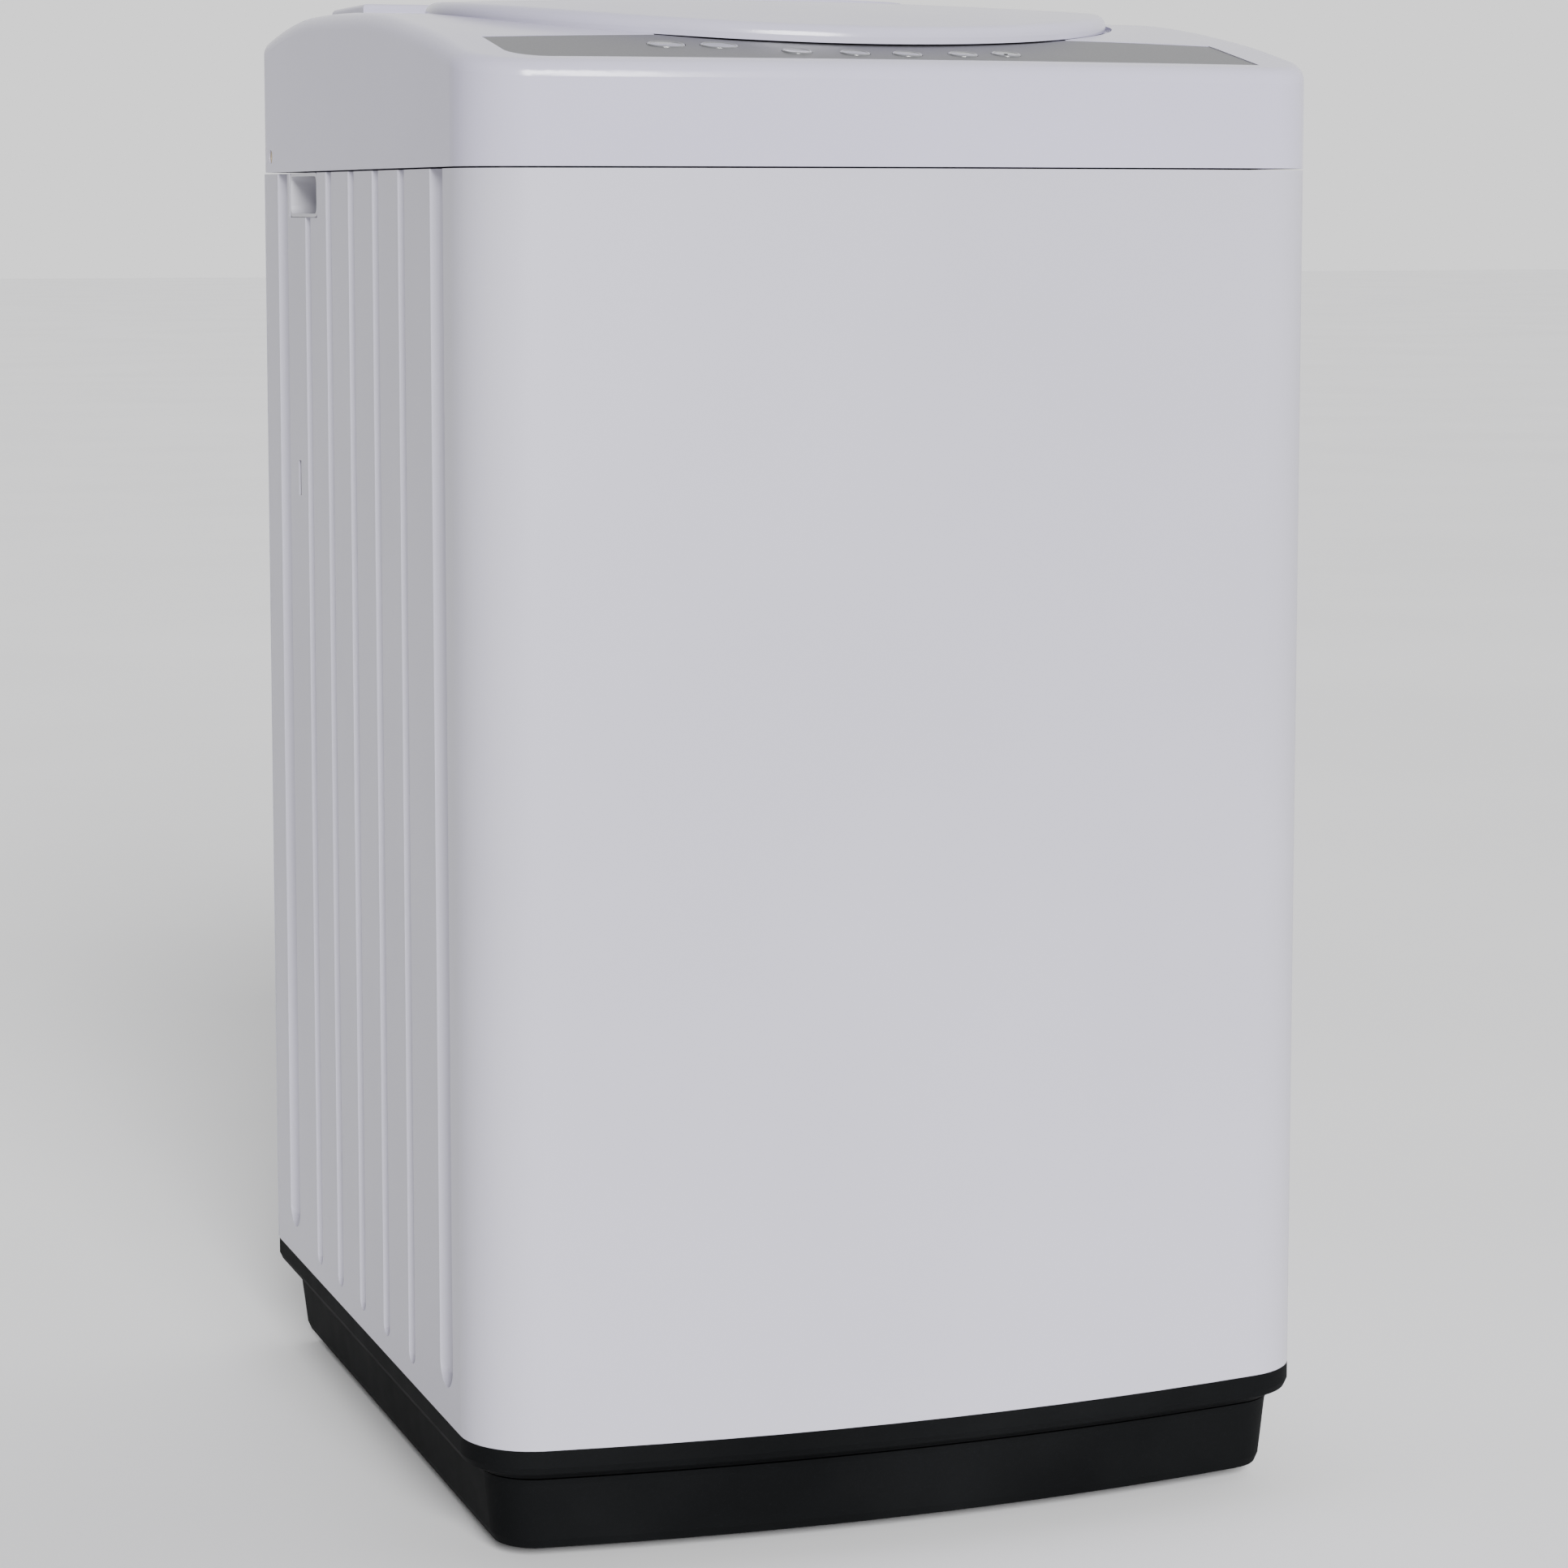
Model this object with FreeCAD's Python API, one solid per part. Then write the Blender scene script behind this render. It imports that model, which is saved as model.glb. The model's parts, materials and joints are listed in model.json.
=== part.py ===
import FreeCAD
import Part
import math
import os

# A portable top load washing machine, in millimetres.
# The origin is on the floor under the middle of the cabinet, +Z is up and the front faces -Y.

# Cabinet and its seams
width = 515.0
rear_y = 271.0
front_bow = 23.6            # how far the middle of the front stands out past its corners
front_corner = 44.0
rear_corner = 13.0
foot_height = 6.0
base_top = 70.0
seam_z = 784.0              # top edge of the steel cabinet
seam_gap = 1.0              # dark joint between the cabinet and the top cover
sheet = 1.2                 # steel sheet
half_width = width / 2
bow_radius = (half_width ** 2 + front_bow ** 2) / (2 * front_bow)
bow_centre_y = bow_radius - rear_y

# Pressed grooves of each side: (rear edge y, width, depth, top z)
groove_rows = [(223, 28, 10, seam_z), (145, 15, 5, 757), (88, 15, 5, seam_z), (29, 15, 5, seam_z),
               (-31.5, 15, 5, seam_z), (-93, 15, 5, seam_z), (-166, 28, 10, seam_z)]
groove_lift = 12.0          # a narrow groove ends this far above the base

# Top cover
cover_wall = 3.5
cover_round = 10.0
panel_inset = 15.0          # from the bowed face back to the panel's front edge
panel_front_z = 844.5       # height of that edge, the same from corner to corner
slope = 0.20                # rise of the panel field per millimetre towards the rear
slope_rows = [(-320, slope), (-182, slope), (-140, 0.125), (-55, 0.07), (50, 0.035),
              (142, 0.0), (199, -0.09), (320, -0.21)]     # rise of the cover's top at each y
bow_fade = 170.0            # the top follows the bow less and less from here to the middle
mouth_radius = 165.0
throat_bottom = 744.0
pad_top = 889.0             # raised parts of the cover behind the lid

# Lid
lid_radius = 209.0
lid_gap = 4.0               # between the lid's rim and its seat, all round
lid_lift = 1.0              # between the lid's underside and its seat
lid_wall = 2.5
rim_height = 9.5
crown = 4.5                 # extra height of the lid's middle over its rim
arch_y = 97.0               # the lid's underside is an arch whose highest line is here
arch_z = 877.4
arch_radius = 2064.0
hinge_y = 214.0
hinge_z = 882.5
hinge_radius = 4.7
arm_spans = ((-44, -30), (30, 44))
arm_gap = 0.3
pin_radius = 2.5

# Control panel and buttons: (x, y, half width, half depth)
panel_left = -228.5
panel_right = 219.5
panel_back = -170.0
panel_round = 25.0          # front left corner
panel_depth = 1.4           # depth of the recess under the overlay
overlay = 1.0
button_rows = [(-131, -205, 10.9, 9.8), (-101, -209, 10.9, 9.8), (-62, -229.5, 8.5, 8.5),
               (-29, -234, 8.5, 8.5), (1.5, -236, 8.5, 8.5), (36, -234, 8.5, 8.5),
               (64, -230, 8.5, 8.5)]
button_gap = 0.3
button_proud = 0.9
button_length = 8.0

# Washing unit, hung from the four corners on rods
axis_y = 1.0
tub_radius = 222.0
tub_wall = 3.0
tub_bottom = 250.0
tub_top = 694.0
basket_radius = 195.0
basket_bottom = 274.0
basket_top = 655.0
ring_top = 694.0
pulsator_radius = 147.0
rod_x = 205.0
rod_reach_y = 205.0         # from the tub's axis
rod_radius = 4.0
bracket_z = 700.0
lug_z = 330.0
lug_thickness = 10.0
rod_bottom = 219.0
spring_radius = 13.0
spring_wire = 1.9
running_fit = 0.05

# Drive under the tub
pulley_z = 128.0
pulley_height = 18.0
belt_floor_big = 64.0
belt_floor_small = 18.0
belt_thickness = 6.0
belt_clearance = 0.3
motor_x = 130.0
motor_y = -74.0
motor_radius = 54.0

# Water
inlet_x = 128.0
inlet_z = 838.0
thread_radius = 13.2        # G3/4
gland_radius = 8.0          # cord gland in the rear of the cover
spigot_radius = 12.4
outlet_x = -150.0
outlet_z = 31.0
valve_x = -112.0
valve_y = 66.0

# Feet
foot_x = 180.0
foot_front_y = -175.0
foot_rear_y = 200.0
foot_radius = 18.0

up = FreeCAD.Vector(0, 0, 1)
side_signs = (-1, 1)


def vec(x, y, z):
    return FreeCAD.Vector(x, y, z)


def box(x0, x1, y0, y1, z0, z1):
    return Part.makeBox(x1 - x0, y1 - y0, z1 - z0, vec(x0, y0, z0))


def post(radius, x, y, z0, z1):
    return Part.makeCylinder(radius, z1 - z0, vec(x, y, z0))


def rod_along_x(radius, x0, x1, y, z):
    return Part.makeCylinder(radius, x1 - x0, vec(x0, y, z), vec(1, 0, 0))


def rod_along_y(radius, y0, y1, x, z):
    return Part.makeCylinder(radius, y1 - y0, vec(x, y0, z), vec(0, 1, 0))


def joined(shapes):
    first = shapes[0]
    if len(shapes) > 1:
        first = first.fuse(shapes[1:]).removeSplitter()
    return first


def rounded_wire(points, radii, closed=True):
    # Straight runs between the points, with a tangent arc at each point that has a radius.
    count = len(points)
    starts = []
    ends = []
    arcs = []
    for i in range(count):
        here = points[i]
        radius = radii[i]
        at_end = not closed and i in (0, count - 1)
        if radius <= 0 or at_end:
            starts.append(here)
            ends.append(here)
            arcs.append(None)
            continue
        back = (points[i - 1] - here).normalize()
        ahead = (points[(i + 1) % count] - here).normalize()
        half_angle = back.getAngle(ahead) / 2
        reach = radius / math.tan(half_angle)
        middle = (back + ahead).normalize()
        centre = here + middle * (radius / math.sin(half_angle))
        starts.append(here + back * reach)
        ends.append(here + ahead * reach)
        arcs.append(Part.Arc(starts[i], centre - middle * radius, ends[i]).toShape())
    edges = []
    for i in range(count):
        if arcs[i]:
            edges.append(arcs[i])
        last = i == count - 1
        if last and not closed:
            break
        following = (i + 1) % count
        if ends[i].distanceToPoint(starts[following]) > 1e-6:
            edges.append(Part.LineSegment(ends[i], starts[following]).toShape())
    return Part.Wire(edges)


def turned(profile, radii=None, x=0.0, y=axis_y):
    # A closed outline of (radius, z) points, turned about the vertical line through x, y.
    points = [vec(x + r, y, z) for r, z in profile]
    wire = rounded_wire(points, radii or [0] * len(points))
    return Part.Face(wire).revolve(vec(x, y, 0), up, 360)


def plan_wire(inset, z, corner=None):
    # The cabinet's outline: bowed front, round front corners, small rear corners.
    half = half_width - inset
    bow = bow_radius - inset
    round_front = corner or max(front_corner - inset, 4)
    round_rear = max(rear_corner - inset, 3)
    rear = rear_y - inset
    centre_x = half - round_front
    centre_y = bow_centre_y - math.sqrt((bow - round_front) ** 2 - centre_x ** 2)
    outward = vec(centre_x, centre_y - bow_centre_y, 0).normalize()
    touch = vec(0, bow_centre_y, z) + outward * bow
    bisector = (outward + vec(1, 0, 0)).normalize()
    knee = vec(centre_x, centre_y, z) + bisector * round_front
    slant = round_rear * (1 - math.sqrt(0.5))

    def mirrored(point):
        return vec(-point.x, point.y, point.z)

    front_side = vec(half, centre_y, z)
    rear_side = vec(half, rear - round_rear, z)
    rear_knee = vec(half - slant, rear - slant, z)
    rear_edge = vec(half - round_rear, rear, z)
    edges = [Part.Arc(mirrored(touch), vec(0, bow_centre_y - bow, z), touch).toShape(),
             Part.Arc(touch, knee, front_side).toShape(),
             Part.LineSegment(front_side, rear_side).toShape(),
             Part.Arc(rear_side, rear_knee, rear_edge).toShape(),
             Part.LineSegment(rear_edge, mirrored(rear_edge)).toShape(),
             Part.Arc(mirrored(rear_edge), mirrored(rear_knee), mirrored(rear_side)).toShape(),
             Part.LineSegment(mirrored(rear_side), mirrored(front_side)).toShape(),
             Part.Arc(mirrored(front_side), mirrored(knee), mirrored(touch)).toShape()]
    return Part.Wire(edges)


def plan_solid(inset, z0, z1):
    return Part.Face(plan_wire(inset, z0)).extrude(vec(0, 0, z1 - z0))


def plan_loft(sections):
    # Ruled between (inset, z) sections from the bottom up, always with the same number of edges.
    solids = []
    for low, high in zip(sections, sections[1:]):
        wires = [plan_wire(inset, z, front_corner - inset) for inset, z in (low, high)]
        solids.append(Part.makeLoft(wires, True, True))
    return joined(solids)


def along_x(points, radii=None):
    # A closed outline of (y, z) points, run right through the machine from side to side.
    reach = half_width + 20
    corners = [vec(-reach, y, z) for y, z in points]
    wire = rounded_wire(corners, radii or [0] * len(corners))
    return Part.Face(wire).extrude(vec(2 * reach, 0, 0))


def front_line(x):
    # The panel's front edge, which runs parallel to the bowed front.
    bow = bow_radius - panel_inset
    return bow_centre_y - math.sqrt(bow ** 2 - x ** 2)


def middle_height(y):
    # Height of the cover's top along its middle, summed up from the slopes.
    height = panel_front_z + slope * (slope_rows[0][0] - front_line(0))
    for (near, rise), (far, next_rise) in zip(slope_rows, slope_rows[1:]):
        reach = min(max(y, near), far) - near
        height += reach * (rise + (next_rise - rise) * reach / (far - near) / 2)
    return height


def top_height(x, y):
    share = min(max(-y / bow_fade, 0), 1)
    share = share * share * (3 - 2 * share)
    return middle_height(y) - slope * (front_line(x) - front_line(0)) * share


def under_top(offset):
    # Everything under the cover's curved top, moved up by the offset.
    spare = 0.02            # past the cover's own outline
    steps = 24
    grid = []
    for i in range(steps + 1):
        x = (half_width + spare) * (2 * i / steps - 1)
        row = []
        for j in range(steps + 1):
            y = (rear_y + spare) * (2 * j / steps - 1)
            row.append(vec(x, y, top_height(x, y) + offset))
        grid.append(row)
    surface = Part.BSplineSurface()
    surface.interpolate(grid)
    return surface.toShape().extrude(vec(0, 0, -150))


def arch_height(y):
    return arch_z - (y - arch_y) ** 2 / (2 * arch_radius)


def above_arch(offset):
    # Everything over the lid's arched underside, moved up by the offset.
    reach = half_width + 20
    ends = (-240.0, 0.0, 250.0)
    on_arc = [vec(-reach, y, arch_height(y) + offset) for y in ends]
    roof = arch_z + 60
    edges = [Part.Arc(*on_arc).toShape(),
             Part.LineSegment(on_arc[2], vec(-reach, ends[2], roof)).toShape(),
             Part.LineSegment(vec(-reach, ends[2], roof), vec(-reach, ends[0], roof)).toShape(),
             Part.LineSegment(vec(-reach, ends[0], roof), on_arc[0]).toShape()]
    return Part.Face(Part.Wire(edges)).extrude(vec(2 * reach, 0, 0))


def groove_cutters(side, grow):
    # The pressed grooves of one side, grown by the sheet's thickness for the inner face.
    cutters = []
    face_x = half_width
    for rear_edge, wide, deep, top in groove_rows:
        back = rear_edge + grow
        front = rear_edge - wide - grow
        inner = face_x - deep - grow
        outer = face_x + 1
        middle = (back + front) / 2
        radius = (back - front) / 2
        if deep > 6:
            bottom = base_top + 20 - grow
            sag = [vec(face_x, front, bottom), vec(inner, middle, bottom), vec(face_x, back, bottom)]
            edges = [Part.Arc(*sag).toShape(),
                     Part.LineSegment(sag[2], vec(outer, back, bottom)).toShape(),
                     Part.LineSegment(vec(outer, back, bottom), vec(outer, front, bottom)).toShape(),
                     Part.LineSegment(vec(outer, front, bottom), sag[0]).toShape()]
            wire = Part.Wire(edges)
        else:
            bottom = base_top + groove_lift - grow
            outline = [vec(outer, front, bottom), vec(face_x, front, bottom),
                       vec(inner, back - deep * 1.1, bottom), vec(inner, back - 2.5, bottom),
                       vec(face_x, back, bottom), vec(outer, back, bottom)]
            wire = rounded_wire(outline, [0, 0, 1.5, 1, 0, 0])
        top_z = top + grow if top < seam_z else top + 1
        bar = Part.Face(wire).extrude(vec(0, 0, top_z - bottom))
        end_z = bottom + radius
        side_outline = [vec(inner - 1, front, end_z), vec(inner - 1, front, top_z + 2),
                        vec(inner - 1, back, top_z + 2), vec(inner - 1, back, end_z)]
        edges = [Part.LineSegment(side_outline[i], side_outline[i + 1]).toShape() for i in range(3)]
        foot = vec(inner - 1, middle, bottom)
        edges.append(Part.Arc(side_outline[3], foot, side_outline[0]).toShape())
        stadium = Part.Face(Part.Wire(edges)).extrude(vec(deep + grow + 4, 0, 0))
        cutters.append(bar.common(stadium))
    shape = Part.makeCompound(cutters)
    if side < 0:
        shape = shape.mirror(vec(0, 0, 0), vec(1, 0, 0))
    return shape


def cabinet_space():
    # The room inside the steel, which the corner brackets fill out to the walls.
    space = plan_solid(sheet, base_top, seam_z)
    for side in side_signs:
        space = space.cut(groove_cutters(side, sheet))
    return space


def make_cabinet(space):
    shell = plan_solid(0, base_top, seam_z)
    for side in side_signs:
        shell = shell.cut(groove_cutters(side, 0))
    shell = shell.cut(space)
    back_open = half_width - rear_corner + 5
    shell = shell.cut(box(-back_open, back_open, rear_y - 16, rear_y + 5, base_top - 1, seam_z + 1))
    for side in side_signs:
        flange_x = sorted((side * (half_width - 14), side * (half_width - sheet / 2)))
        shell = shell.fuse(box(*flange_x, rear_y - 7.2, rear_y - 6, base_top, seam_z))
        pocket_x = sorted((side * (half_width - 8), side * (half_width + 1)))
        shell = shell.cut(box(*pocket_x, 112, 189, 756, seam_z + 1))
        shell = shell.cut(box(*pocket_x, 164.8, 171.2, 578.8, 601.2))
    return shell


def make_rear_panel():
    panel = box(-250, 250, rear_y - 6, rear_y - 4.8, base_top, seam_z)
    vents = [box(x, x + 60, rear_y - 8, rear_y, z, z + 5) for x in (-150, -30, 90)
             for z in range(120, 200, 14)]
    return panel.cut(Part.makeCompound(vents))


def make_grip(side):
    # A moulded pocket for the fingers, let into the side under the cover.
    outer = box(half_width - 27, half_width - 0.3, 112.3, 188.7, 756.3, seam_z)
    outer = outer.makeFillet(6, [e for e in outer.Edges if abs(e.Length - 26.7) < 0.01])
    hollow = box(half_width - 24.8, half_width + 1, 114.5, 186.5, 758.5, seam_z - 2)
    hollow = hollow.makeFillet(5, [e for e in hollow.Edges if e.BoundBox.XLength > 20])
    grip = outer.cut(hollow)
    if side < 0:
        grip = grip.mirror(vec(0, 0, 0), vec(1, 0, 0))
    return grip


def make_side_clips():
    clips = []
    for side in side_signs:
        x_span = sorted((side * (half_width - 7), side * (half_width - 2.2)))
        slot_span = sorted((side * (half_width - 5), side * (half_width + 1)))
        clip = box(*x_span, 165, 171, 579, 601)
        clips.append(clip.cut(box(*slot_span, 166.5, 169.5, 583, 597)))
    return Part.makeCompound(clips)


def make_base():
    # A moulded tray: flange under the cabinet, rounded step, tapering skirt, open middle.
    outer = plan_loft([(24, foot_height), (19, 8), (17, 13), (13.5, 46), (12.5, 50), (6, 54),
                       (1.8, 56), (0, 60), (0, base_top)])
    inner = plan_loft([(21, foot_height + 5), (17.5, 44), (5, 58), (4, 62), (4, base_top + 1)])
    tray = outer.cut(inner)
    tray = tray.cut(post(120, 0, axis_y, 0, 30))
    bosses = []
    for x in (-foot_x, foot_x):
        for y in (foot_front_y, foot_rear_y):
            bosses.append(post(14, x, y, foot_height, 40))
    ribs = [box(-230, 230, y - 1.5, y + 1.5, foot_height + 1, 24) for y in (-150, 150)]
    ribs = [rib.cut(post(120, 0, axis_y, 0, 30)) for rib in ribs]
    tray = joined([tray] + bosses + ribs)
    for x in (-foot_x, foot_x):
        tray = tray.cut(post(5 + running_fit, x, foot_front_y, 0, 41))
        tray = tray.cut(post(6, x, foot_rear_y, 0, 22))
    tray = tray.cut(rod_along_y(spigot_radius + 3, rear_y - 30, rear_y + 2, outlet_x, outlet_z))
    return tray.cut(rod_along_y(17, 140, 160, outlet_x + 4, outlet_z))


def make_rear_feet():
    feet = []
    for x in (-foot_x, foot_x):
        pad = turned([(0, 0), (foot_radius - 2, 0), (foot_radius, 2), (foot_radius, foot_height),
                      (5.95, foot_height), (5.95, 20), (0, 20)], None, x, foot_rear_y)
        feet.append(pad)
    return Part.makeCompound(feet)


def make_front_foot(side):
    return turned([(0, 0), (foot_radius - 2, 0), (foot_radius, 2), (foot_radius, foot_height - 0.3),
                   (5, foot_height - 0.3), (5, 38), (0, 38)], None, side * foot_x, foot_front_y)


def cover_body(inset, lower):
    # The outer form of the top cover, or its inside when inset and lowered.
    return plan_solid(inset, seam_z + seam_gap, pad_top + 20).common(under_top(-lower))


def seat_zone():
    # What the lid's seat takes up in the cover, wall and floor included.
    zone = post(lid_radius + lid_gap + cover_wall, 0, axis_y, 800, 960)
    return zone.common(above_arch(-lid_lift - cover_wall))


def panel_outline(z, grow):
    # Front edge parallel to the bowed front with a round left corner, straight sides and back.
    left = panel_left - grow
    right = panel_right + grow
    back = panel_back + grow

    def front_at(x):
        return front_line(x) - grow

    left_start = vec(left, front_at(left + panel_round) + panel_round, z)
    left_end = vec(left + panel_round, front_at(left + panel_round), z)
    knee_share = 1 - math.sqrt(0.5)
    knee = vec(left + panel_round * knee_share, left_end.y + panel_round * knee_share, z)
    right_front = vec(right, front_at(right), z)
    edges = [Part.Arc(left_start, knee, left_end).toShape(),
             Part.Arc(left_end, vec(0, front_at(0), z), right_front).toShape(),
             Part.LineSegment(right_front, vec(right, back, z)).toShape(),
             Part.LineSegment(vec(right, back, z), vec(left, back, z)).toShape(),
             Part.LineSegment(vec(left, back, z), left_start).toShape()]
    return Part.Wire(edges)


def panel_layer(grow, top_offset, bottom_offset):
    prism = Part.Face(panel_outline(800, grow)).extrude(vec(0, 0, 90))
    return prism.common(under_top(top_offset)).cut(under_top(bottom_offset))


def button_form(row, grow, top, bottom):
    # A round or oval bar that stands square to the panel field.
    x, y, half_x, half_y = row
    tilt = math.atan(slope)
    if half_x > half_y:
        outline = Part.Ellipse(vec(0, 0, 0), half_x + grow, half_y + grow).toShape()
    else:
        outline = Part.makeCircle(half_x + grow)
    bar = Part.Face(Part.Wire(outline)).extrude(vec(0, 0, top - bottom))
    bar.translate(vec(0, 0, bottom))
    bar.rotate(vec(0, 0, 0), vec(1, 0, 0), math.degrees(tilt))
    bar.translate(vec(x, y, top_height(x, y)))
    return bar


def make_overlay():
    layer = panel_layer(-0.3, overlay - panel_depth, -panel_depth)
    holes = [button_form(row, button_gap, 10, -12) for row in button_rows]
    seat = post(lid_radius + lid_gap, 0, axis_y, 800, 960).common(above_arch(-lid_lift))
    return layer.cut(Part.makeCompound(holes)).cut(seat)


def make_button(row):
    surface = overlay - panel_depth
    bar = button_form(row, 0, surface + button_proud, surface - button_length)
    rims = sorted(bar.Edges, key=lambda e: e.BoundBox.ZMax - e.BoundBox.ZLength)
    return bar.makeFillet(0.6, rims[-1:])


def make_cover():
    # One moulding: outer form, hollow inside, seat and mouth for the lid, throat, hinge knuckles.
    form = cover_body(0, 0)
    top_edges = [e for e in form.Edges if e.BoundBox.ZMin > seam_z + 20]
    form = form.makeFillet(cover_round, top_edges)
    seat = post(lid_radius + lid_gap, 0, axis_y, 800, 960)
    pads = box(-225, 225, 118, 202, 870, pad_top)
    pads = pads.makeFillet(3, [e for e in pads.Edges if e.BoundBox.ZMin > pad_top - 0.5])
    hollow = cover_body(cover_wall, cover_wall).cut(seat_zone())
    cover = form.fuse(pads).cut(hollow)
    throat = post(mouth_radius + 3, 0, axis_y, throat_bottom, 890)
    cover = cover.fuse(throat.cut(above_arch(-lid_lift - 1)))
    recess_x0 = inlet_x - 26
    recess_x1 = inlet_x + 26
    recess = box(recess_x0 - 2, recess_x1 + 2, rear_y - 22, rear_y - 2, inlet_z - 24, inlet_z + 24)
    cover = cover.fuse(recess)
    knuckles = []
    for x0, x1 in ((-52, -44.3), (-29.7, -22), (22, 29.7), (44.3, 52)):
        knuckles.append(rod_along_x(hinge_radius, x0, x1, hinge_y, hinge_z))
        knuckles.append(box(x0, x1, hinge_y - hinge_radius, hinge_y + hinge_radius, 873, hinge_z))
    cover = cover.fuse(knuckles)
    cutters = [seat.common(above_arch(-lid_lift)).cut(Part.makeCompound(knuckles)),
               post(mouth_radius, 0, axis_y, throat_bottom - 5, 960),
               panel_layer(0, 5, -panel_depth),
               box(recess_x0, recess_x1, rear_y - 20, rear_y + 5, inlet_z - 22, inlet_z + 22),
               rod_along_y(thread_radius + 3.3, rear_y - 30, rear_y, inlet_x, inlet_z),
               rod_along_y(gland_radius, rear_y - 10, rear_y + 5, -inlet_x, inlet_z),
               rod_along_x(pin_radius, -60, 60, hinge_y, hinge_z),
               box(inlet_x - 14, inlet_x + 14, 80, 150, 845, 863)]
    for row in button_rows:
        cutters.append(button_form(row, button_gap, 10, -12))
    for x0, x1 in arm_spans:
        low = hinge_z - hinge_radius - 0.8
        cutters.append(box(x0 - arm_gap, x1 + arm_gap, 200, hinge_y + hinge_radius + 2, low, 960))
    for side in side_signs:
        screw_x = sorted((side * (half_width - 8), side * (half_width + 2)))
        cutters.append(rod_along_x(4.6, *screw_x, 243, 795))
    for cutter in cutters:
        cover = cover.cut(cutter)
    return cover.removeSplitter()


def lid_top(offset):
    # Everything under the lid's crowned top, moved up by the offset.
    reach = 250.0
    steps = 9
    grid = []
    for i in range(steps):
        row = []
        for j in range(steps):
            x = -reach + 2 * reach * i / (steps - 1)
            y = -reach + 2 * reach * j / (steps - 1)
            fall = crown * (x * x + y * y) / lid_radius ** 2
            row.append(vec(x, axis_y + y, arch_height(axis_y + y) + rim_height + crown - fall + offset))
        grid.append(row)
    surface = Part.BSplineSurface()
    surface.interpolate(grid)
    return surface.toShape().extrude(vec(0, 0, -80))


def make_lid_shell():
    body = lid_top(0).common(post(lid_radius, 0, axis_y, 800, 940)).common(above_arch(0))
    top_edge = [e for e in body.Edges if e.BoundBox.XLength > 2 * lid_radius - 2]
    top_edge.sort(key=lambda e: e.BoundBox.ZMax)
    body = body.makeFillet(7, top_edge[-1:])
    oval = Part.Ellipse(vec(0, 75, 800), 115, 84).toShape()
    oval_bar = Part.Face(Part.Wire(oval)).extrude(vec(0, 0, 120))
    body = body.fuse(oval_bar.common(lid_top(1.5)).cut(lid_top(-1)))
    hollow = lid_top(-lid_wall).common(post(lid_radius - lid_wall, 0, axis_y, 800, 940))
    body = body.cut(hollow.common(above_arch(-5)))
    arms = []
    for x0, x1 in arm_spans:
        arms.append(box(x0, x1, 200, hinge_y, hinge_z - 4.2, hinge_z + 4.2))
        arms.append(rod_along_x(hinge_radius, x0, x1, hinge_y, hinge_z))
    body = body.fuse(arms)
    body = body.cut(rod_along_x(pin_radius + running_fit, -60, 60, hinge_y, hinge_z))
    return body.removeSplitter()


def make_lid_liner():
    # A shallow inner panel that closes the lid's underside.
    disc = post(lid_radius - lid_wall, 0, axis_y, 800, 940)
    layer = disc.common(above_arch(0.4)).cut(above_arch(2.4))
    return layer.cut(box(-46, 46, 194, 220, 860, 900))


def make_hinge_pins():
    pins = [rod_along_x(pin_radius, x0, x1, hinge_y, hinge_z) for x0, x1 in ((-52, -22), (22, 52))]
    return Part.makeCompound(pins)


def make_control_case():
    # An open tray that hangs under the panel.
    outer = box(-150, 150, -248, -190, 798, 900).common(under_top(-cover_wall)).cut(seat_zone())
    return outer.cut(box(-148, 148, -246, -192, 800, 900))


def make_control_board():
    board_top = 807.6
    board = box(-147, 147, -245, -193, 806, board_top)
    switches = []
    for x, y, half_x, half_y in button_rows:
        tip = top_height(x, y - 4) - button_length - 2.8
        switches.append(box(x - 4, x + 4, y - 4, y + 4, board_top, tip))
    relay = box(110, 138, -228, -206, board_top, 824)
    return joined([board, relay] + switches)


def make_lid_switch():
    body = box(62, 88, 176, 196, 846, 864)
    lever = box(70, 74, 180, 192, 864, 869)
    return body.fuse(lever)


def make_inlet_valve():
    # Threaded stub for the hose, valve body and its coil.
    stub = rod_along_y(thread_radius, rear_y - 19, rear_y - 2, inlet_x, inlet_z)
    shoulder = rod_along_y(thread_radius + 3, rear_y - 24, rear_y - 19, inlet_x, inlet_z)
    body = rod_along_y(18, 222, rear_y - 22, inlet_x, inlet_z)
    coil = box(inlet_x + 14, inlet_x + 40, 224, 244, inlet_z - 14, inlet_z + 14)
    valve = joined([body, shoulder, stub, coil])
    return valve.cut(rod_along_y(10, rear_y - 20, rear_y, inlet_x, inlet_z))


def make_inlet_duct():
    # A flat duct from the valve to the mouth of the cover.
    outer = box(inlet_x - 13.7, inlet_x + 13.7, 109, 222, 845.3, 862.7)
    inner = box(inlet_x - 11.5, inlet_x + 11.5, 100, 219, 847.5, 860.5)
    return outer.cut(inner).cut(post(mouth_radius, 0, axis_y, 800, 900))


def make_level_sensor():
    dome = turned([(0, 828), (22, 828), (22, 844), (14, 850), (0, 850)], None, -110, 236)
    return dome.fuse(post(3, -110, 236, 812, 828))


def make_brackets(space):
    plates = []
    for x_side in side_signs:
        for y_side in side_signs:
            y = axis_y + y_side * rod_reach_y
            x_span = sorted((x_side * 165, x_side * (half_width + 5)))
            y_span = (y - 34, rear_y) if y_side > 0 else (-rear_y - 5, y + 26)
            corner = box(*x_span, *y_span, bracket_z, bracket_z + 5).common(space)
            corner = corner.cut(box(-300, 300, rear_y - 7.2, rear_y, 600, 800))
            plates.append(corner.cut(post(rod_radius + 2, x_side * rod_x, y, 600, 800)))
    return Part.makeCompound(plates)


def rod_place(x_side, y_side):
    return x_side * rod_x, axis_y + y_side * rod_reach_y


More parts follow.
